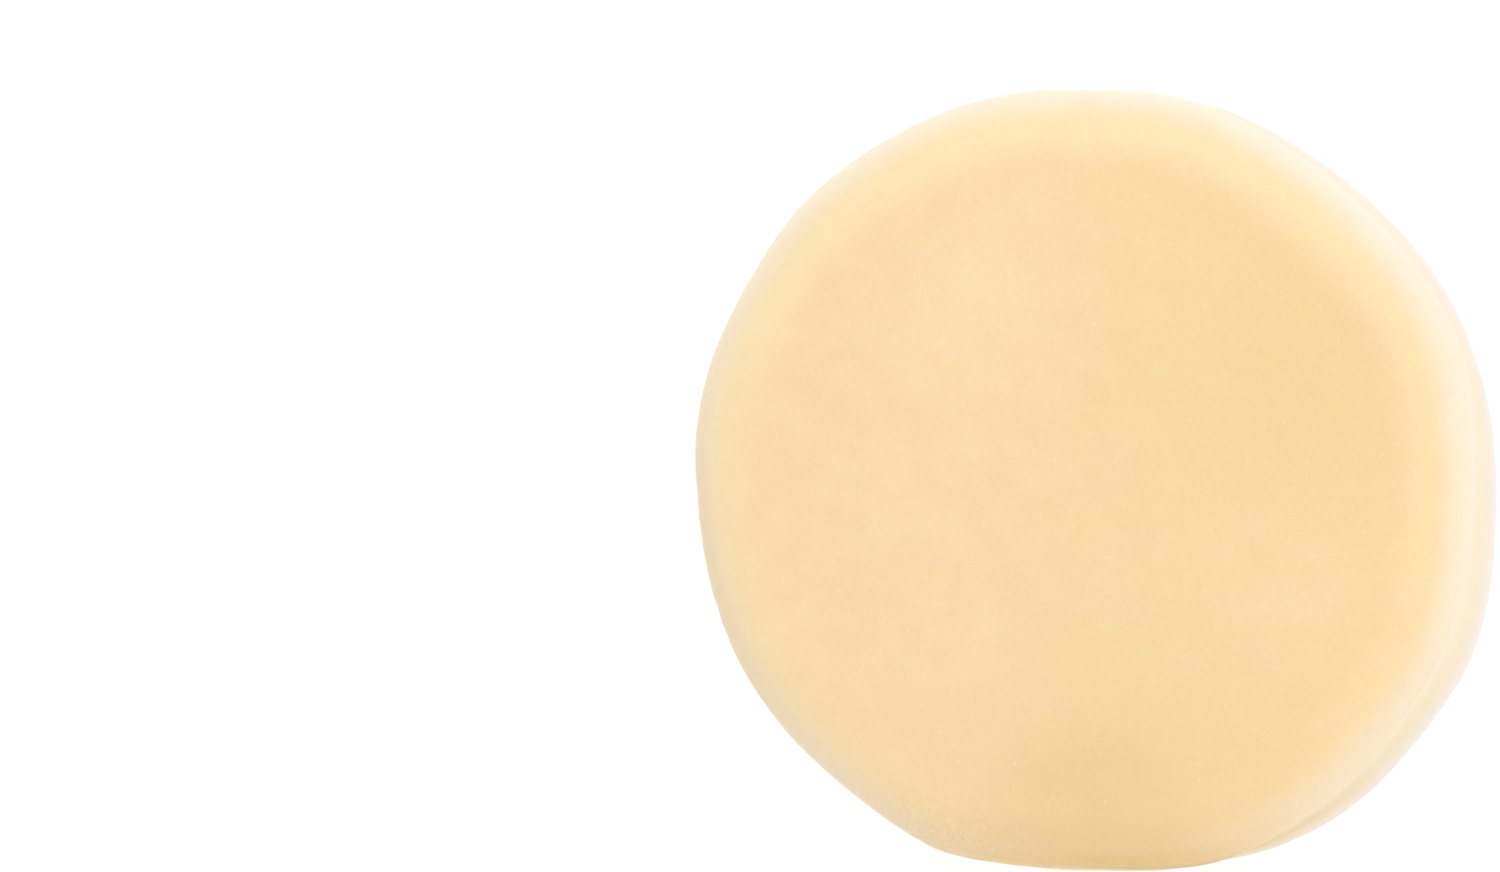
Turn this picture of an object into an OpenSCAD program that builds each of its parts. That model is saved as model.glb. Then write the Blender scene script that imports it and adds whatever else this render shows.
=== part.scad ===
// Shaving soap cake: one solid, hand-trimmed disc of hard soap.
// It lies on its back face at z = 0, centred on the origin, and its front face looks up +Z.

/* [Cake] */
// Diameter of the cake across its front lip, before the hand shaping
cake_d = 70; // [50:1:90]
// Thickness of the cake from its back face to its front face
cake_t = 25; // [15:1:40]

/* [Rims] */
// How far in from the lip the rounding of the front rim reaches
front_rim_w = 5; // [3:0.5:8]
// How far below the front face the rounding of the front rim ends
front_rim_h = 4; // [2:0.5:5]
// How far in from the wall the rounding of the back rim reaches
back_rim_w = 3.5; // [2:0.5:6]
// How far above the back face the rounding of the back rim ends
back_rim_h = 3; // [1.5:0.5:4]

/* [Wall] */
// How far the wall is set back under the front lip, where the lip is fullest
lip_overhang = 0.6; // [0:0.1:1]
// Height of the hollow step from the lip down to the wall
lip_step_h = 1.4; // [1:0.2:3]
// How much the wall widens from under the lip to the back rim
wall_flare = 0.8; // [0:0.1:1.5]

/* [Hand shaping] */
// Strength of the flats and bulges left by trimming and smoothing by hand
shaping = 1; // [0:0.1:1.4]

/* [Hidden] */

// Flats (negative) and bulges (positive) round the outline. Each row holds the
// direction it faces in degrees, its half width in degrees, and how far it
// moves the outline at the front lip and at the back rim, in millimetres.
hand_marks = [
    [ 20, 12,  0.8, -0.2],
    [ 53, 17, -0.4, -0.5],
    [ 72,  7,  0.2,  0.2],
    [ 90,  9, -0.2, -0.2],
    [112, 16,  0.2,  0.2],
    [136,  9,  0.3,  0.2],
    [168, 12,  0.3,  0.2],
    [187,  9, -0.1, -0.2],
    [212, 12,  0.1,  0.1],
    [248,  9,  0.8,  0.5],
    [270,  9, -0.1, -0.4],
    [290, 11,  1.2,  0.5],
    [308, 14,  1.2,  1.3],
    [333, 15,  0.8,  1.4]
];
mark_unit_d = 70;          // diameter that the hand marks were taken at

lip_side = 312;            // direction in which the lip stands out furthest
lip_least = 0.3;           // share of the overhang left on the opposite side

core_inset = 4;            // how far the round core stays inside the flat faces' edges
core_d = cake_d - 2 * (max(front_rim_w, back_rim_w) + core_inset);

segments = 96;             // points round the outline
front_rim_steps = 8;       // rings in the rounding of the front rim
back_rim_steps = 5;        // rings in the rounding of the back rim
lip_steps = 4;             // rings in the hollow step under the lip
wall_steps = 4;            // rings up the wall

lip_z = cake_t - front_rim_h;
wall_top_z = lip_z - lip_step_h;

// Shortest way round from angle b to angle a, in degrees
function turn(a, b) = (a - b + 540) % 360 - 180;

function sum_of(list) = list * [for (item = list) 1];

// How far the hand marks move the outline at angle a. front is 0 at the back
// face and 1 at the lip and above.
function marks_at(a, front) =
    shaping * cake_d / mark_unit_d * sum_of([
        for (m = hand_marks)
            (m[2] * front + m[3] * (1 - front)) * exp(-pow(turn(a, m[0]) / m[1], 2))
    ]);

function outline_r(a, z) = cake_d / 2 + marks_at(a, min(z / lip_z, 1));

// Share of the overhang at angle a
function lip_share(a) = lip_least + (1 - lip_least) * (1 + cos(a - lip_side)) / 2;

// The profile from back to front. Each row holds the inset that is the same all
// round, the part of the overhang added to it, and the height.
function back_rim() = [
    for (i = [0 : back_rim_steps])
        let (t = 90 * i / back_rim_steps)
            [back_rim_w * (1 - sin(t)) - wall_flare, 1, back_rim_h * (1 - cos(t))]
];

function wall() = [
    for (i = [1 : wall_steps])
        let (t = i / wall_steps)
            [-wall_flare * (1 - t), 1, back_rim_h + (wall_top_z - back_rim_h) * t]
];

function lip_step() = [
    for (i = [1 : lip_steps])
        let (t = i / lip_steps)
            [0, (1 + cos(180 * t)) / 2, wall_top_z + lip_step_h * t]
];

function front_rim() = [
    for (i = [1 : front_rim_steps])
        let (t = 90 * i / front_rim_steps)
            [front_rim_w * (1 - cos(t)), 0, lip_z + front_rim_h * sin(t)]
];

profile = concat(back_rim(), wall(), lip_step(), front_rim());

skin = [
    for (p = profile, i = [0 : segments - 1])
        let (
            a = 360 * i / segments,
            r = outline_r(a, p[2]) - p[0] - p[1] * lip_overhang * lip_share(a)
        )
            [r * cos(a), r * sin(a), p[2]]
];

// Middle of the box round the cake, which is brought to the origin
function middle(k) =
    let (values = [for (p = skin) p[k]]) (min(values) + max(values)) / 2;

module soap_cake() {
    rings = len(profile);
    back_face = [for (i = [0 : segments - 1]) i];
    front_face = [for (i = [segments - 1 : -1 : 0]) (rings - 1) * segments + i];
    skin_faces = [
        for (ring = [0 : rings - 2], i = [0 : segments - 1], half = [0, 1])
            let (
                next = (i + 1) % segments,
                low = ring * segments,
                high = low + segments
            )
                half == 0 ? [low + i, high + i, high + next] : [low + i, high + next, low + next]
    ];
    color("moccasin")
        translate([-middle(0), -middle(1), 0]) {
            polyhedron(skin, concat([back_face, front_face], skin_faces), convexity = 4);
            cylinder(h = cake_t, d = core_d, $fn = segments);
        }
}

soap_cake();
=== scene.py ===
import math

import bpy
import numpy as np
from mathutils import Matrix, Vector, noise


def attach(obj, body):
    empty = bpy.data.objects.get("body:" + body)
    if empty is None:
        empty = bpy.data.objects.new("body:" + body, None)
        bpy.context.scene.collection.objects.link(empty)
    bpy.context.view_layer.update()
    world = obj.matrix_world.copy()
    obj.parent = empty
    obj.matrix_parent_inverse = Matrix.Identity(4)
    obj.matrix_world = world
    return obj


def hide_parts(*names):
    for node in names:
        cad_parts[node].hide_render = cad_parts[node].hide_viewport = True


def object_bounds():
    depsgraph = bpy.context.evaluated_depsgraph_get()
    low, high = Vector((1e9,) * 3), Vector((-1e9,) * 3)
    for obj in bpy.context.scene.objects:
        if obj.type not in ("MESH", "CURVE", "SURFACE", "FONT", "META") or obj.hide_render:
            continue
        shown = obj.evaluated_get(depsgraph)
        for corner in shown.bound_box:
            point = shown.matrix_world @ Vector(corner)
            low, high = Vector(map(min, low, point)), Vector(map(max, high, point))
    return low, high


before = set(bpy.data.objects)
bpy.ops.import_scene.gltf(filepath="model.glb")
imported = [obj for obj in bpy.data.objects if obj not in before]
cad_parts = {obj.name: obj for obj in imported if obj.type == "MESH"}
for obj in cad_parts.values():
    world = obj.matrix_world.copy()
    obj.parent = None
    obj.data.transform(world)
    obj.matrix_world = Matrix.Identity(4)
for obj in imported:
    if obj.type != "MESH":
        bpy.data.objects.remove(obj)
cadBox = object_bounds()
boxLow, boxHigh = cadBox
mm = 0.001
print("frame loaded, cake", [round(v / mm, 2) for v in boxHigh - boxLow], "mm")


class Wire:
    # an output socket of a finish, which can be used in a sum
    def __init__(self, finish, socket):
        self.finish = finish
        self.socket = socket

    def sumWith(self, operation, first, second):
        wires = [w for w in (first, second) if isinstance(w, Wire)]
        kind = "Math"
        if any(w.socket.type in ("VECTOR", "RGBA") for w in wires):
            kind = "VectorMath"
            first, second = [v if isinstance(v, Wire) else (v,) * 3 for v in (first, second)]
        return self.finish.node(kind, {"operation": operation}, {0: first, 1: second})

    def __add__(self, other):
        return self.sumWith("ADD", self, other)

    def __radd__(self, other):
        return self.sumWith("ADD", other, self)

    def __sub__(self, other):
        return self.sumWith("SUBTRACT", self, other)

    def __rsub__(self, other):
        return self.sumWith("SUBTRACT", other, self)

    def __mul__(self, other):
        return self.sumWith("MULTIPLY", self, other)

    def __rmul__(self, other):
        return self.sumWith("MULTIPLY", other, self)

    def asValue(self):
        return self.finish.node("RGBToBW", inputs={0: self})


class Finish:
    # one material, and the one method that adds a node to it
    def __init__(self, name):
        self.material = bpy.data.materials.new(name)
        self.material.use_nodes = True
        self.tree = self.material.node_tree
        self.tree.nodes.clear()

    def node(self, kind, settings=None, inputs=None, out=0):
        added = self.tree.nodes.new("ShaderNode" + kind)
        for key, value in (settings or {}).items():
            if key == "stops":
                self.setStops(added.color_ramp, value)
            else:
                setattr(added, key, value)
        for key, value in (inputs or {}).items():
            if isinstance(value, Wire):
                self.tree.links.new(value.socket, added.inputs[key])
            else:
                added.inputs[key].default_value = value
        return Wire(self, added.outputs[out]) if len(added.outputs) else None

    def setStops(self, ramp, stops):
        while len(ramp.elements) < len(stops):
            ramp.elements.new(1.0)
        for element, (place, grey) in zip(ramp.elements, stops):
            element.position = place
            element.color = (grey, grey, grey, 1.0)

    def mixColours(self, share, first, second):
        return self.node("Mix", {"data_type": "RGBA"}, {0: share, 6: first, 7: second}, out=2)

    def steps(self, value, stops):
        return self.node("ValToRGB", {"stops": stops}, {"Fac": value}).asValue()

    def meshValue(self, name):
        return self.node("Attribute", {"attribute_name": name}, out=2)


cakeShape = {
    "across": 112,            # grid squares across a flat face
    "ringGap": 0.36,          # mm between rings up the wall
    "lipRingGap": 0.12,       # mm between rings at the lip
    "faceLap": 2.5,           # mm of each flat face that the rings take in
    "harmonics": 26,          # finest ripple kept in the outline
    "roundness": 0.42,        # mm, how far the skin is rounded off everywhere
    "lipSharp": 0.18,         # mm, how far the lip is rounded where it is crisp
    "lipSoft": 1.5,           # mm, how far it is rounded where it has been rubbed away
    "lipFill": 0.25,          # mm of soap that the rubbing has pushed over the hollow
    "lipSide": 301,           # direction in which the lip is crisp
    "lipSpread": 25,          # degrees to each side over which it fades
    "lipReach": 2.4,          # mm above and below the lip
    "lipHeight": 21.0,        # mm from the back face, the height of the lip
}

cakeWear = {
    "broadWave": 0.10,        # mm, height of the wide unevenness
    "broadSize": 13,          # mm
    "handWave": 0.045,        # mm, height of the marks of fingers and blade
    "handSize": 4.2,          # mm
    "fineWave": 0.012,        # mm
    "fineSize": 1.3,          # mm
    "handShift": (9, 2, 4),   # takes these marks from another part of the noise
    "fineShift": (3, 8, 1),   # and these from one more
    "dents": 90,              # shallow dents all over
    "dentWidth": (0.5, 1.9),  # mm
    "dentDepth": (0.01, 0.05),
    "nicks": [(199.5, 0.14, 0.7), (203.6, 0.10, 0.5)],    # direction, depth and width in mm
    "nickReach": 3.5,         # mm above and below the lip
    "pressSide": 287,         # where the wall has been pressed in under the lip
    "pressSpread": 6,         # degrees
    "pressDepth": 0.3,        # mm
    "pressLevel": (17, 20),   # mm from the back face between which the press fades out
    "crumbSide": 250,         # direction of the crumbly stretch of the front rim
    "crumbSpread": 11,        # degrees
    "crumbWave": 0.07,        # mm
    "crumbSize": 0.8,         # mm
    "crumbLayers": (1.0, 2.2, 3),    # how they weaken, how they shrink, and their number
    "crumbFrom": (0.86, 0.95),       # shares of the radius between which it sets in
    "crumbLevel": (17, 20),   # mm from the back face between which it sets in
    "crumbLeast": 0.01,       # the share under which it isn't worked out
    "proudest": 0.2,          # mm that a wave may stand out of the front face
    "seed": 7,
}

# Where the soap's colour changes, much of it painted light and shade. A side is a direction in
# degrees, and a spread is how far it goes on to each side of that, in degrees too. A level is a
# pair of heights above the back face in mm, and a from is a pair of shares of the radius, between
# which the colour comes or goes. A least or a most is a share of the full colour, and so are the
# painted shades and painted shadows.
cakeAge = {
    "wallLevel": (11, 22),    # the wall gives way to the front rim
    "lowShadeFadeLevel": (13, 20),   # the painted shade of the lower edge and the bottom fades out down the wall
    "lowShadeFadeLeast": 0.35,       # what is left of it there
    "drySide": 67,            # the palest rim: drier skin, and painted sheen where the light falls
    "drySheenLeast": 0.42,         # how pale it is on the opposite side
    "drySheenFrom": (0.887, 0.987),
    "bloomSheenLevel": (2, 9),     # the wall is painted paler again towards the back rim, partly drier skin and partly painted sheen
    "hazeSide": 20,           # a painted grey sheen on the driest of the wall
    "grazingSheenMost": 0.8,
    "grazingSheenLevel": (4, 12),     # it lies low on the wall
    "paleSide": 140,          # the front rim's painted pale glow is strongest on this side
    "rimGlowLeast": 0.45,
    "rimGlowFrom": (0.82, 0.93),
    "rimGlowWiden": 0.06,        # how much nearer to the middle it sets in on the dry side
    "wetSide": 275,           # painted shade, darker and more amber, along the lower edge that it stood on
    "wetSpread": 20,
    "lowEdgeShadeFrom": (0.945, 1.0),
    "dampSide": 271,          # broad painted shade above that edge
    "dampSpread": 25,
    "bottomShadeFrom": (0.50, 0.80),
    "bottomShadeStrength": 0.32,
    "handSide": 190,          # painted shade, a little, on the left rim
    "handSpread": 32,
    "leftRimShadeFrom": (0.928, 0.965),
    "leftRimShadeStrength": 0.26,
    "grimeSide": 280,         # painted contact shadow along the lip where it stood
    "grimeSpread": 10,
    "lipShadowLevel": (21.7, 22.5),
    "lipShadowDrop": 2.5,         # mm under the lip over which it fades
    "deepSide": 292,          # more painted shadow in the hollow, next to where it stood
    "deepSpread": 6,
    "hollowShadowFootLevel": (9, 16),        # it fades out down the wall
    "hollowShadowTopLevel": (19.5, 21),      # and ends at the lip
    "hollowShadowStrength": 0.55,
    "wallPaintedShade": 0.19,        # painted shade: the whole wall is a little darker than the rim
    "lipSide": 328,           # painted shade on the lip itself, where it is full
    "lipSpread": 20,
    "lipReach": 1.3,          # mm to each side of it
    "lipPaintedShade": 0.22,
    "crestSide": 38,          # painted shade on the crest over the lip, where it is rubbed flat
    "crestSpread": 30,
    "crestHeight": 22.2,      # mm from the back face
    "crestReach": 0.9,        # mm to each side of it
    "crestPaintedShade": 0.08,
    "creaseSide": 299,        # painted shade in the hollow under the lip
    "creaseSpread": 17,
    "creaseLevel": (5, 14),
    "creasePaintedShade": 0.46,
    "ripeSide": 12,           # the yellower half
    "ripeFrom": (-0.5, 0.9),  # measured from the cake's middle towards that side
    # clouds in the front face: place and reach in mm, then how much paler, yellower and darker
    "clouds": [
        (20, 9, 8, 0.0, 0.35, 0.12),
        (3, -24, 9, 0.0, 0.35, 0.10),
        (-9, 15, 8, 0.4, 0.0, 0.0),
        (21, -10, 9, 0.15, -0.3, 0.0),
    ],
}


def rise(value, low, high):
    # 0 up to low, 1 from high, and a smooth slope between them
    part = np.clip((value - low) / (high - low), 0, 1)
    return part * part * (3 - 2 * part)


def bell(distance, width):
    # 1 in the middle, about a third at the width, and next to nothing at twice the width
    return np.exp(-(distance / width) ** 2)


def angleBetween(first, second):
    # degrees from one direction to the other, the shorter way round
    return abs((first - second + 180) % 360 - 180)


def readRings(node):
    # heights of the frame's rings from back to front, and each one's angles and radii
    points = np.array([v.co[:] for v in node.data.vertices])
    levels = np.round(points[:, 2], 6)
    heights = np.unique(levels)
    rings = []
    for height in heights:
        ring = points[levels == height]
        angles = np.arctan2(ring[:, 1], ring[:, 0])
        order = np.argsort(angles)
        rings.append((angles[order], np.hypot(ring[:, 0], ring[:, 1])[order]))
    return heights, rings


def evenRadii(angles, radii, count, harmonics):
    # the ring's radii at even angles, without ripples finer than the harmonics
    turns = np.arange(count) * 2 * math.pi / count
    even = np.interp(turns, angles, radii, period=2 * math.pi)
    waves = np.fft.rfft(even)
    waves[harmonics + 1:] = 0
    return np.fft.irfft(waves, count)


def smoothRows(rows, reach):
    # a bell-shaped average down the rows, which keeps straight ends straight
    # the reach is the bell's standard deviation in rows, and three of them take in all of it
    width = int(math.ceil(reach * 3))
    weights = bell(np.arange(-width, width + 1), reach * math.sqrt(2))
    weights /= weights.sum()
    before = 2 * rows[0] - rows[1:width + 1][::-1]
    after = 2 * rows[-1] - rows[-width - 1:-1][::-1]
    padded = np.concatenate([before, rows, after])
    return sum(weights[k] * padded[k:k + len(rows)] for k in range(len(weights)))


def cadRows(shape, count):
    # radii and heights of the frame's rings, at even steps up the skin and on to both faces
    heights, rings = readRings(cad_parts["soap_cake"])
    radii = np.array([evenRadii(a, r, count, shape["harmonics"]) for a, r in rings])
    lap = shape["faceLap"] * mm
    radii = np.concatenate([radii[:1] - lap, radii, radii[-1:] - lap])
    heights = np.concatenate([heights[:1], heights, heights[-1:]])
    along = np.concatenate([[0], np.cumsum(np.hypot(np.diff(radii.mean(1)), np.diff(heights)))])
    steps = int(round(along[-1] / (shape["lipRingGap"] * mm)))
    places = np.linspace(0, along[-1], steps + 1)
    columns = [np.interp(places, along, radii[:, k]) for k in range(count)]
    return np.array(columns).T, np.interp(places, along, heights)


def skinRows(shape, count):
    # the same rings smoothed, with a lip that is crisp on one side and rubbed over elsewhere
    rows, heights = cadRows(shape, count)
    ringsPerMm = 1 / shape["lipRingGap"]
    plain = smoothRows(rows, shape["roundness"] * ringsPerMm)
    crisp = smoothRows(rows, shape["lipSharp"] * ringsPerMm)
    rubbed = smoothRows(rows, shape["lipSoft"] * ringsPerMm) + shape["lipFill"] * mm
    heights = smoothRows(heights[:, None], shape["roundness"] * ringsPerMm)[:, 0]
    directions = np.arange(count) * 360 / count
    share = bell(angleBetween(directions, shape["lipSide"]), shape["lipSpread"])
    atLip = bell(heights / mm - shape["lipHeight"], shape["lipReach"])[:, None]
    rows = plain + atLip * (share * (crisp - plain) + (1 - share) * (rubbed - plain))
    # every ring is kept at the lip, and every few elsewhere
    step = int(round(shape["ringGap"] / shape["lipRingGap"]))
    fine = abs(heights / mm - shape["lipHeight"]) < shape["lipReach"] / 2
    kept = [k for k in range(len(rows)) if fine[k] or k % step == 0 or k == len(rows) - 1]
    return rows[kept], np.clip(heights[kept], boxLow.z, boxHigh.z)


def roundPlace(u, v):
    # a point of the square grid as (share of the radius, angle) on the round face
    if u == 0 and v == 0:
        return 0.0, 0.0
    if abs(u) > abs(v):
        share, angle = u, math.pi / 4 * v / u
    else:
        share, angle = v, math.pi / 2 - math.pi / 4 * u / v
    if share < 0:
        share, angle = -share, angle + math.pi
    return share, angle % (2 * math.pi)


def addFace(points, faces, ringStart, count, across, radii, height, upward):
    # fills a flat face with quads that share the vertices of the ring round it
    index = np.zeros((across + 1, across + 1), int)
    for i in range(across + 1):
        for j in range(across + 1):
            share, angle = roundPlace(2 * i / across - 1, 2 * j / across - 1)
            turn = angle / (2 * math.pi) * count
            if i in (0, across) or j in (0, across):
                index[i, j] = ringStart + int(round(turn)) % count
                continue
            low = int(turn) % count
            part = turn - int(turn)
            radius = radii[low] * (1 - part) + radii[(low + 1) % count] * part
            index[i, j] = len(points)
            points.append((share * radius * math.cos(angle), share * radius * math.sin(angle), height))
    for i in range(across):
        for j in range(across):
            square = [index[i, j], index[i + 1, j], index[i + 1, j + 1], index[i, j + 1]]
            faces.append(square if upward else square[::-1])


def cakeMesh(shape):
    # the closed skin, and the widest radius in each direction
    count = 4 * shape["across"]
    radii, heights = skinRows(shape, count)
    turns = np.arange(count) * 2 * math.pi / count
    points = []
    for row, height in zip(radii, heights):
        points += list(zip(row * np.cos(turns), row * np.sin(turns), [height] * count))
    faces = []
    for ring in range(len(heights) - 1):
        low, high = ring * count, (ring + 1) * count
        for k in range(count):
            after = (k + 1) % count
            faces.append([low + k, low + after, high + after, high + k])
    last = (len(heights) - 1) * count
    addFace(points, faces, 0, count, shape["across"], radii[0], heights[0], False)
    addFace(points, faces, last, count, shape["across"], radii[-1], heights[-1], True)
    mesh = bpy.data.meshes.new("soapCake")
    mesh.from_pydata([Vector(p) for p in points], [], [[int(k) for k in f] for f in faces])
    mesh.update()
    return mesh, radii.max(0)


def skinPlaces(points, outline):
    # each point's direction in degrees, share of the radius, and height in mm
    directions = np.degrees(np.arctan2(points[:, 1], points[:, 0])) % 360
    edge = outline[(directions / 360 * len(outline)).astype(int) % len(outline)]
    outward = np.hypot(points[:, 0], points[:, 1]) / edge
    return directions, outward, (points[:, 2] - boxLow.z) / mm


def waveHeights(points, crumb, wear):
    # unevenness in mm, from wide waves down to fine ones and the crumbly stretch
    moved = np.zeros(len(points))
    handShift = Vector(wear["handShift"])
    fineShift = Vector(wear["fineShift"])
    for k, point in enumerate(points):
        place = Vector(point) / mm
        moved[k] += wear["broadWave"] * noise.noise(place / wear["broadSize"])
        moved[k] += wear["handWave"] * noise.noise(place / wear["handSize"] + handShift)
        moved[k] += wear["fineWave"] * noise.noise(place / wear["fineSize"] + fineShift)
        if crumb[k] > wear["crumbLeast"]:
            rough = noise.fractal(place / wear["crumbSize"], *wear["crumbLayers"])
            moved[k] += crumb[k] * wear["crumbWave"] * rough
    return moved


def dentDepths(points, wear):
    # shallow dents in mm, each round a point of the skin that is drawn at random
    random = np.random.default_rng(wear["seed"])
    depths = np.zeros(len(points))
    for k in range(wear["dents"]):
        centre = points[random.integers(len(points))]
        width = random.uniform(*wear["dentWidth"]) * mm
        far = np.linalg.norm(points - centre, axis=1)
        depths += random.uniform(*wear["dentDepth"]) * bell(far, width)
    return depths


def nickDepths(points, outline, wear):
    # short cuts across the lip, along the thickness
    depths = np.zeros(len(points))
    for direction, depth, width in wear["nicks"]:
        turn = math.radians(direction)
        edge = outline[int(direction / 360 * len(outline))]
        aside = np.hypot(points[:, 0] - edge * math.cos(turn), points[:, 1] - edge * math.sin(turn))
        above = points[:, 2] - boxLow.z - cakeShape["lipHeight"] * mm
        depths += depth * bell(aside, width * mm) * bell(above, wear["nickReach"] * mm)
    return depths


def workSkin(mesh, outline, wear):
    # wears the skin along its normals, and returns how crumbly each point is
    points = np.array([v.co[:] for v in mesh.vertices])
    normals = np.array([n.vector[:] for n in mesh.vertex_normals])
    directions, outward, above = skinPlaces(points, outline)
    frontRim = rise(outward, *wear["crumbFrom"]) * rise(above, *wear["crumbLevel"])
    crumb = bell(angleBetween(directions, wear["crumbSide"]), wear["crumbSpread"]) * frontRim
    moved = waveHeights(points, crumb, wear)
    moved -= dentDepths(points, wear)
    moved -= nickDepths(points, outline, wear)
    pressed = bell(angleBetween(directions, wear["pressSide"]), wear["pressSpread"])
    moved -= wear["pressDepth"] * pressed * (1 - rise(above, *wear["pressLevel"]))
    points += normals * moved[:, None] * mm
    points[:, 2] = np.clip(points[:, 2], boxLow.z, boxHigh.z + wear["proudest"] * mm)
    mesh.vertices.foreach_set("co", points.ravel())
    mesh.update()
    return crumb


def ageSkin(mesh, outline, crumb, age):
    # notes on the mesh how much of each change of colour every point of the skin has, painted sheen,
    # glow, shade and shadow among them
    points = np.array([v.co[:] for v in mesh.vertices])
    directions, outward, above = skinPlaces(points, outline)

    def near(side):
        return bell(angleBetween(directions, age[side + "Side"]), age[side + "Spread"])

    def facing(side):
        turned = np.radians(directions - age[side + "Side"])
        return (1 + np.cos(turned)) / 2

    onWall = 1 - rise(above, *age["wallLevel"])
    # the painted shade along the lower edge and the broad zone above it fades out down the wall
    lowShadeFade = age["lowShadeFadeLeast"] + (1 - age["lowShadeFadeLeast"]) * rise(above, *age["lowShadeFadeLevel"])
    wet = near("wet") * lowShadeFade
    # paler rims and wall: drier skin, and painted sheen strongest where the light falls
    dry = rise(outward, *age["drySheenFrom"]) * (age["drySheenLeast"] + (1 - age["drySheenLeast"]) * facing("dry"))
    # a painted pale glow along the front rim
    rimGlowFrom = rise(outward + age["rimGlowWiden"] * facing("dry"), *age["rimGlowFrom"])
    pale = rimGlowFrom * (1 - onWall) * (age["rimGlowLeast"] + (1 - age["rimGlowLeast"]) * facing("pale"))
    pale = pale * (1 - near("damp"))
    # painted sheen again on the wall towards the back rim, where the painted wall shade fades
    bloomSheen = 1 - rise(above, *age["bloomSheenLevel"])
    dry = dry + (1 - dry) * bloomSheen
    # painted shade on the wall, the broad bottom zone, the left rim, the hollow under the lip, the lip
    # and its crest
    shade = age["wallPaintedShade"] * onWall * (1 - bloomSheen)
    shade += age["bottomShadeStrength"] * near("damp") * lowShadeFade * rise(outward, *age["bottomShadeFrom"])
    shade += age["leftRimShadeStrength"] * near("hand") * rise(outward, *age["leftRimShadeFrom"])
    shade += age["creasePaintedShade"] * near("crease") * onWall * rise(above, *age["creaseLevel"])
    shade += age["lipPaintedShade"] * near("lip") * bell(above - cakeShape["lipHeight"], age["lipReach"])
    shade += age["crestPaintedShade"] * near("crest") * bell(above - age["crestHeight"], age["crestReach"])
    # painted contact shadow along the lip where it stood, and painted shadow in the hollow under it
    underLip = np.maximum(cakeShape["lipHeight"] - above, 0)
    grime = near("grime") * (1 - rise(above, *age["lipShadowLevel"])) * bell(underLip, age["lipShadowDrop"])
    hollow = rise(above, *age["hollowShadowFootLevel"]) * (1 - rise(above, *age["hollowShadowTopLevel"]))
    grime = grime + age["hollowShadowStrength"] * near("deep") * hollow
    side = math.radians(age["ripeSide"])
    ripe = (points[:, 0] * math.cos(side) + points[:, 1] * math.sin(side)) / outline.mean()
    ripe = rise(ripe, *age["ripeFrom"])
    for x, y, reach, paler, riper, darker in age["clouds"]:
        far = np.hypot(points[:, 0] / mm - x, points[:, 1] / mm - y)
        cloud = bell(far, reach) * (1 - onWall)
        pale = pale + paler * cloud
        ripe = ripe + riper * cloud
        shade = shade + darker * cloud
    shares = {
        "dryShare": dry * (1 - wet),
        "wetShare": wet * rise(outward, *age["lowEdgeShadeFrom"]),
        "hazeShare": age["grazingSheenMost"] * facing("haze") * (1 - rise(above, *age["grazingSheenLevel"])),
        "paleShare": pale,
        "ripeShare": ripe,
        "shadeShare": shade,
        "grimeShare": grime,
        "crumbShare": crumb,
    }
    for name, values in shares.items():
        attribute = mesh.attributes.new(name, "FLOAT", "POINT")
        attribute.data.foreach_set("value", np.clip(values, 0, 1).astype(np.float32))
    mesh.update()


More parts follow.
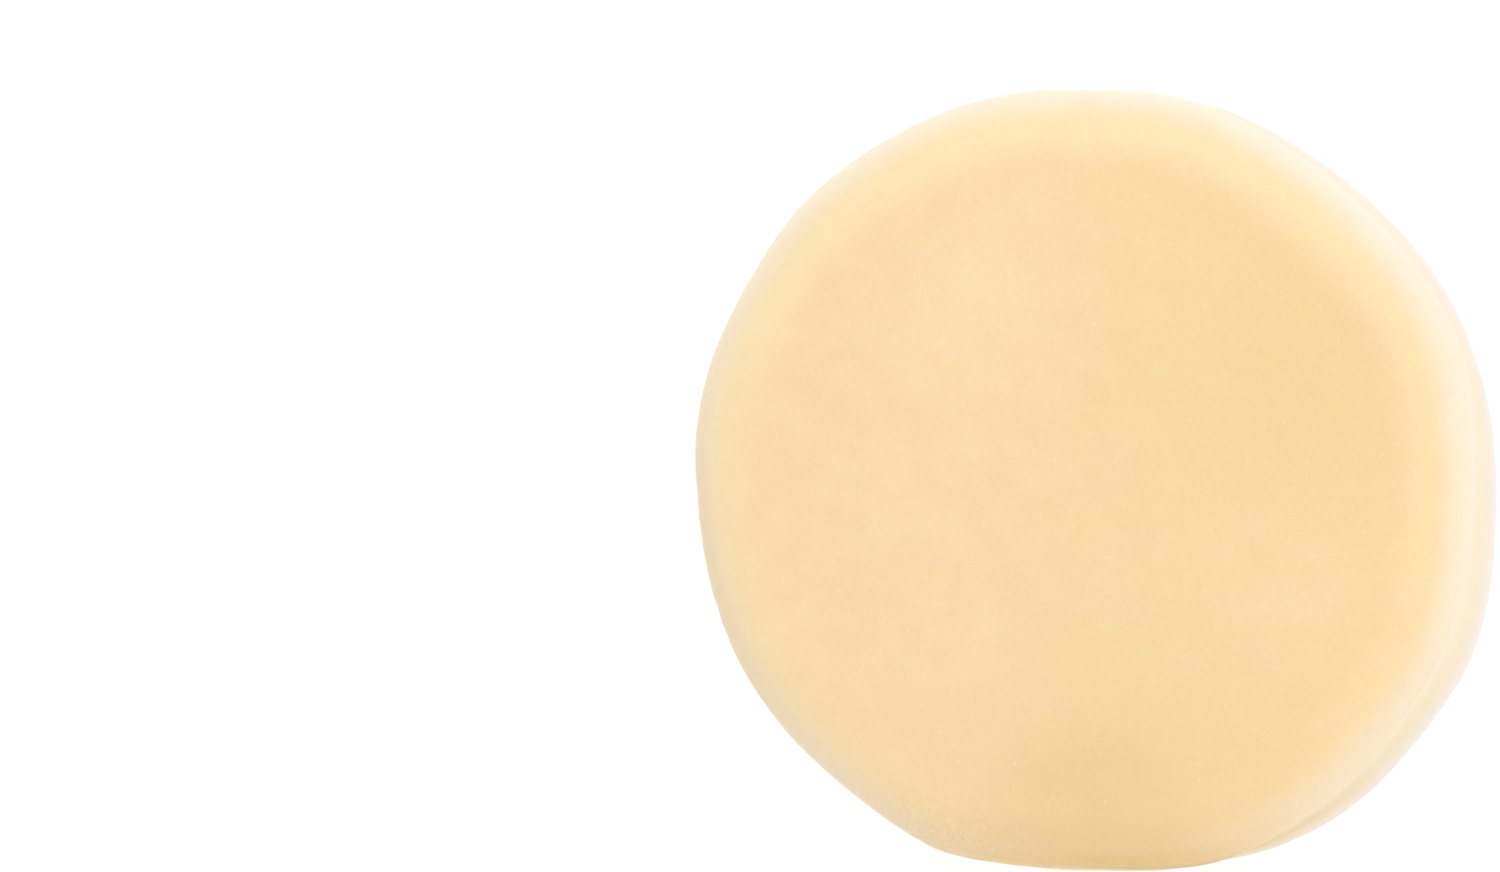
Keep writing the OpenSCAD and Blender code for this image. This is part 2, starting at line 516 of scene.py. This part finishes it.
# Noises have their size in mm, their layers and the strength of the finer layers. A ramp is the
# pair of levels between which a noise is drawn out from 0 to 1. A mix is how strongly a colour
# is laid on: first everywhere, then how much more where the clouds, mottle or crumbs are full.
soapLook = {
    "cream": (0.80, 0.595, 0.358, 1),       # fresh cut soap
    "deepCream": (0.785, 0.57, 0.325, 1),   # warmer mottle
    "paleCloudsAndRimGlowCream": (0.82, 0.667, 0.402, 1),   # lighter clouds, and the painted glow of the front rim
    "ripeCream": (0.80, 0.585, 0.285, 1),   # yellower side
    "drySheenCream": (0.80, 0.72, 0.60, 1),      # drier skin of the wall and rims, with painted sheen
    "grazingSheenCream": (0.75, 0.70, 0.67, 1),     # painted grey sheen over the driest of it
    "amberFleckAndShadeCream": (0.72, 0.475, 0.165, 1),  # painted shade along the lower edge, and dark flecks
    "paintedShadeAndCloudCream": (0.64, 0.45, 0.19, 1),     # painted shade, and darker clouds
    # painted shadow under the lip and in the hollow
    "lipShadowCream": (0.46, 0.34, 0.17, 1),
    "fleck": (0.90, 0.78, 0.56, 1),         # pale flecks and specks
    "mottleNoise": (16, 2, 0.5),
    "mottleRamp": (0.3, 0.7),
    "cloudNoise": (3.4, 5, 0.62),
    "cloudRamp": (0.3, 0.72),
    "honeyNoise": (2.6, 4, 0.6),
    "honeyRamp": (0.3, 0.7),
    "poreNoise": (0.5, 3, 0.6),
    "poreRamp": (0.34, 0.5),
    "grainNoise": (0.16, 2, 0.5),
    "fleckNoise": (0.42, 2, 0.5),
    "paleFleckRamp": (0.56, 0.72),
    "darkFleckRamp": (0.30, 0.44),          # drawn out from 1 to 0
    "speckGap": 1.7,                        # mm from one round speck to the next
    "speckWidth": 0.20,                     # mm
    "speckCore": 0.4,                       # share of the width at which it begins to fade
    "speckRamp": (0.48, 0.64),              # picks which of the specks show
    "cloudMix": 0.5,
    "ripeMix": (0.55, 0.2),                 # with the mottle
    "honeyMix": 0.35,
    "paleMix": (0.85, 0.3),                 # with the clouds, as are the four below
    "dryMix": (0.9, 0.2),
    "wetMix": (0.8, 0.2),
    "shadeMix": (0.8, 0.4),
    "grimeMix": (0.6, 0.4),
    "darkFleckMix": (0.10, 0.3),            # with the crumbs
    "paleFleckMix": (0.10, 0.2),            # with the crumbs
    "speckMix": 0.27,
    "grainMix": 0.02,                       # how much the grain lightens and darkens it all
    "roughFace": 0.46,
    "roughWall": 0.58,
    "roughClouds": 0.08,
    "roughCrumb": 0.1,
    "smoothSpeck": 0.05,
    "refraction": 1.46,
    "glow": 0.5,
    "glowDepth": (2.6, 1.5, 0.8),           # mm that red, green and blue light spreads in the soap
    "grainHeight": 0.012,                   # mm
    "poreHeight": 0.03,                     # mm
    "poreMix": (0.4, 1.2),                  # with the crumbs
    "reliefStrength": 0.7,
}


def soapFinish(look):
    soap = Finish("soap")
    place = soap.node("TexCoord", out="Object")

    def noiseOf(name):
        size, layers, rough = look[name + "Noise"]
        inputs = {"Vector": place, "Scale": 1 / (size * mm), "Detail": layers, "Roughness": rough}
        return soap.node("TexNoise", inputs=inputs)

    def drawnOut(value, name, first=0):
        low, high = look[name + "Ramp"]
        return soap.steps(value, [(low, first), (high, 1 - first)])

    def mixOf(share, name, more):
        plain, extra = look[name + "Mix"]
        return share * (plain + more * extra)

    mottle = drawnOut(noiseOf("mottle"), "mottle")
    clouds = drawnOut(noiseOf("cloud"), "cloud")
    honey = drawnOut(noiseOf("honey"), "honey")
    pores = drawnOut(noiseOf("pore"), "pore")
    grain = noiseOf("grain")
    flecks = noiseOf("fleck")
    paleFleck = drawnOut(flecks, "paleFleck")
    darkFleck = drawnOut(flecks, "darkFleck", first=1)

    # round specks, one in each cell, of which some show
    cells = {"Vector": place, "Scale": 1 / (look["speckGap"] * mm)}
    cellFar = soap.node("TexVoronoi", {"feature": "F1"}, cells)
    cellPick = soap.node("TexVoronoi", {"feature": "F1"}, cells, out="Color").asValue()
    edge = look["speckWidth"] / look["speckGap"]
    spot = soap.steps(cellFar, [(edge * look["speckCore"], 1), (edge, 0)])
    speck = spot * drawnOut(cellPick, "speck")

    names = ("dry", "wet", "haze", "crumb", "pale", "shade", "grime", "ripe")
    dry, wet, haze, crumb, pale, shade, grime, ripe = [soap.meshValue(name + "Share") for name in names]

    # each colour is laid over the ones before it
    colour = soap.mixColours(mottle, look["deepCream"], look["cream"])
    colour = soap.mixColours(clouds * look["cloudMix"], colour, look["paleCloudsAndRimGlowCream"])
    riper = mixOf(ripe, "ripe", mottle) + honey * look["honeyMix"]
    colour = soap.mixColours(riper, colour, look["ripeCream"])
    # pale clouds, and the painted glow of the front rim
    colour = soap.mixColours(mixOf(pale, "pale", clouds), colour, look["paleCloudsAndRimGlowCream"])
    # drier skin with painted sheen, painted grey sheen, painted shade along the lower edge, painted
    # shade with darker clouds, and painted shadow under the lip
    colour = soap.mixColours(mixOf(dry, "dry", clouds), colour, look["drySheenCream"])
    colour = soap.mixColours(haze, colour, look["grazingSheenCream"])
    colour = soap.mixColours(mixOf(wet, "wet", clouds), colour, look["amberFleckAndShadeCream"])
    colour = soap.mixColours(mixOf(shade, "shade", clouds), colour, look["paintedShadeAndCloudCream"])
    colour = soap.mixColours(mixOf(grime, "grime", clouds), colour, look["lipShadowCream"])
    colour = soap.mixColours(mixOf(darkFleck, "darkFleck", crumb), colour, look["amberFleckAndShadeCream"])
    paler = mixOf(paleFleck, "paleFleck", crumb) + speck * look["speckMix"]
    colour = soap.mixColours(paler, colour, look["fleck"])
    colour = colour * (1 - look["grainMix"] / 2 + grain * look["grainMix"])

    rough = look["roughFace"] + dry * (look["roughWall"] - look["roughFace"])
    rough = rough + (clouds - 0.5) * look["roughClouds"]
    rough = rough + crumb * look["roughCrumb"] - speck * look["smoothSpeck"]

    relief = grain * look["grainHeight"] + mixOf(pores * look["poreHeight"], "pore", crumb)
    bump = {"Strength": look["reliefStrength"], "Distance": mm, "Height": relief}
    normal = soap.node("Bump", inputs=bump)

    deepest = max(look["glowDepth"])
    inputs = {
        "Base Color": colour,
        "Roughness": rough,
        "Normal": normal,
        "IOR": look["refraction"],
        "Subsurface Weight": look["glow"],
        "Subsurface Radius": [depth / deepest for depth in look["glowDepth"]],
        "Subsurface Scale": deepest * mm,
    }
    shader = soap.node("BsdfPrincipled", inputs=inputs)
    soap.node("OutputMaterial", inputs={"Surface": shader})
    return soap.material


def makeCake():
    mesh, outline = cakeMesh(cakeShape)
    crumb = workSkin(mesh, outline, cakeWear)
    ageSkin(mesh, outline, crumb, cakeAge)
    mesh.polygons.foreach_set("use_smooth", [True] * len(mesh.polygons))
    mesh.materials.append(soapFinish(soapLook))
    cake = bpy.data.objects.new("soapCake", mesh)
    bpy.context.scene.collection.objects.link(cake)
    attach(cake, "root")
    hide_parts("soap_cake")
    return cake


cake = makeCake()
print("cake made,", len(cake.data.polygons), "faces")


studio = {
    "floorSize": 8.0,                      # m
    "floorPale": (0.75, 0.75, 0.75, 1),
    "floorRough": 0.9,
    "floorShine": 0.1,
    "floorGlow": 0.43,                     # light that the floor gives by itself
    "lightColour": (1, 1, 1, 1),           # of that light and of the air
    "airLight": 0.76,                      # strength of the even white light all round
    "lamps": {                             # place in m, width in m, power in W
        "keyLight": ((0.15, 0.35, 1.2), 0.7, 5.15),
        "sideLight": ((1.0, -0.15, 0.5), 0.7, 1.2),
        "topLight": ((-0.3, 1.0, 0.6), 0.7, 1.6),
        "lowLight": ((0.55, -0.85, 0.7), 0.7, 1.3),
    },
}


def makeFloor(room):
    half = room["floorSize"] / 2
    corners = [(-half, -half), (half, -half), (half, half), (-half, half)]
    mesh = bpy.data.meshes.new("floor")
    mesh.from_pydata([(x, y, boxLow.z) for x, y in corners], [], [[0, 1, 2, 3]])
    pale = Finish("floorPale")
    inputs = {
        "Base Color": room["floorPale"],
        "Roughness": room["floorRough"],
        "Specular IOR Level": room["floorShine"],
        "Emission Color": room["lightColour"],
        "Emission Strength": room["floorGlow"],
    }
    shader = pale.node("BsdfPrincipled", inputs=inputs)
    pale.node("OutputMaterial", inputs={"Surface": shader})
    mesh.materials.append(pale.material)
    floor = bpy.data.objects.new("floor", mesh)
    bpy.context.scene.collection.objects.link(floor)


def addSoftLight(name, place, width, power):
    light = bpy.data.lights.new(name, "AREA")
    light.shape = "DISK"
    light.size = width
    light.energy = power
    lamp = bpy.data.objects.new(name, light)
    lamp.location = place
    toCake = (boxLow + boxHigh) / 2 - Vector(place)
    lamp.rotation_euler = toCake.to_track_quat("-Z", "Y").to_euler()
    bpy.context.scene.collection.objects.link(lamp)


def makeLight(room):
    world = bpy.data.worlds.new("studioAir")
    world.use_nodes = True
    background = world.node_tree.nodes["Background"]
    background.inputs["Color"].default_value = room["lightColour"]
    background.inputs["Strength"].default_value = room["airLight"]
    bpy.context.scene.world = world
    for name, (place, width, power) in room["lamps"].items():
        addSoftLight(name, place, width, power)
    bpy.context.scene.view_settings.view_transform = "Standard"


makeFloor(studio)
makeLight(studio)
print("floor and light made")


viewpoint = {
    "distance": 1.2,        # m from the middle of the front face
    "fromRight": 7.6,       # degrees off the face's normal, towards +X
    "fromBelow": 2.05,      # degrees off the face's normal, towards -Y
    "frameWidth": 0.1336,   # m across the whole frame, at the front face
    "aside": 0.0290,        # m, how far the face's middle stands right of the frame's middle
    "below": 0.0034,        # m, and below it
    "sensorWidth": 36,      # mm
}


def makeCamera(view):
    lens = bpy.data.cameras.new("camera")
    lens.sensor_width = view["sensorWidth"]
    lens.lens = lens.sensor_width * view["distance"] / view["frameWidth"]
    camera = bpy.data.objects.new("camera", lens)
    target = Vector(((boxLow.x + boxHigh.x) / 2, (boxLow.y + boxHigh.y) / 2, boxHigh.z))
    right, below = math.radians(view["fromRight"]), math.radians(view["fromBelow"])
    back = Vector((math.tan(right), -math.tan(below), 1)).normalized()
    across = Vector((0, 1, 0)).cross(back).normalized()
    upward = back.cross(across)
    turned = Matrix((across, upward, back)).transposed()
    aimAside = Matrix.Rotation(math.atan(view["aside"] / view["distance"]), 3, "Y")
    aimUp = Matrix.Rotation(math.atan(view["below"] / view["distance"]), 3, "X")
    place = Matrix.Translation(target + back * view["distance"])
    camera.matrix_world = place @ (turned @ aimAside @ aimUp).to_4x4()
    bpy.context.scene.collection.objects.link(camera)
    bpy.context.scene.camera = camera


makeCamera(viewpoint)
print("camera placed")
